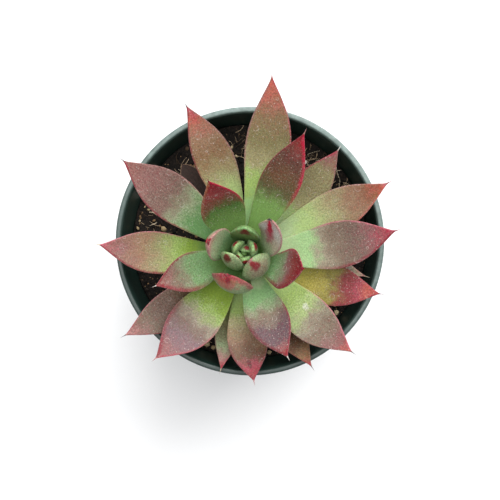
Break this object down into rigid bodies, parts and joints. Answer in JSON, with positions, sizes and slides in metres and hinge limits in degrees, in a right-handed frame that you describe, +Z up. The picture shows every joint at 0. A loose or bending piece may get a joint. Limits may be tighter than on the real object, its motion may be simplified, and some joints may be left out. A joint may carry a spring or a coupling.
{
  "type": "potted lipstick echeveria",
  "caption": "Succulent rosette of thick pointed green leaves with red tips and margins, growing in a round tapered plastic nursery pot of soil.",
  "frame": {"origin": "centre of the pot's flat foot, on its underside", "axes": "+Z up along the pot's axis; +Y is up the picture, +X is to its right"},
  "size_m": [0.1361, 0.1408, 0.13],
  "materials": {
    "pot_plastic": "satin, dark green, scuffed lip",
    "soil_peat": "loose dark peat with fibres and perlite",
    "stem_bark": "rough, with old leaf scars",
    "leaf_skin": "waxy satin, green to mauve, crimson tips and margins",
    "dry_skin": "matt, withered brown"
  },
  "bodies": {
    "root": {"pot": "pot_plastic", "soil": "soil_peat", "stem": "stem_bark", "leaf_01": "leaf_skin", "leaf_02": "leaf_skin", "leaf_03": "leaf_skin", "leaf_04": "leaf_skin", "leaf_05": "leaf_skin", "leaf_06": "leaf_skin", "leaf_07": "leaf_skin", "leaf_08": "leaf_skin", "leaf_09": "leaf_skin", "leaf_10": "leaf_skin", "leaf_11": "leaf_skin", "leaf_12": "leaf_skin", "leaf_13": "leaf_skin", "leaf_14": "leaf_skin", "leaf_15": "leaf_skin", "leaf_16": "leaf_skin", "leaf_17": "leaf_skin", "leaf_18": "leaf_skin", "leaf_19": "leaf_skin", "leaf_20": "leaf_skin", "leaf_21": "leaf_skin", "leaf_22": "leaf_skin", "leaf_23": "leaf_skin", "leaf_24": "leaf_skin", "leaf_25": "leaf_skin", "leaf_26": "leaf_skin", "heart": "leaf_skin", "dry_leaf": "dry_skin"}
  },
  "joints": []
}
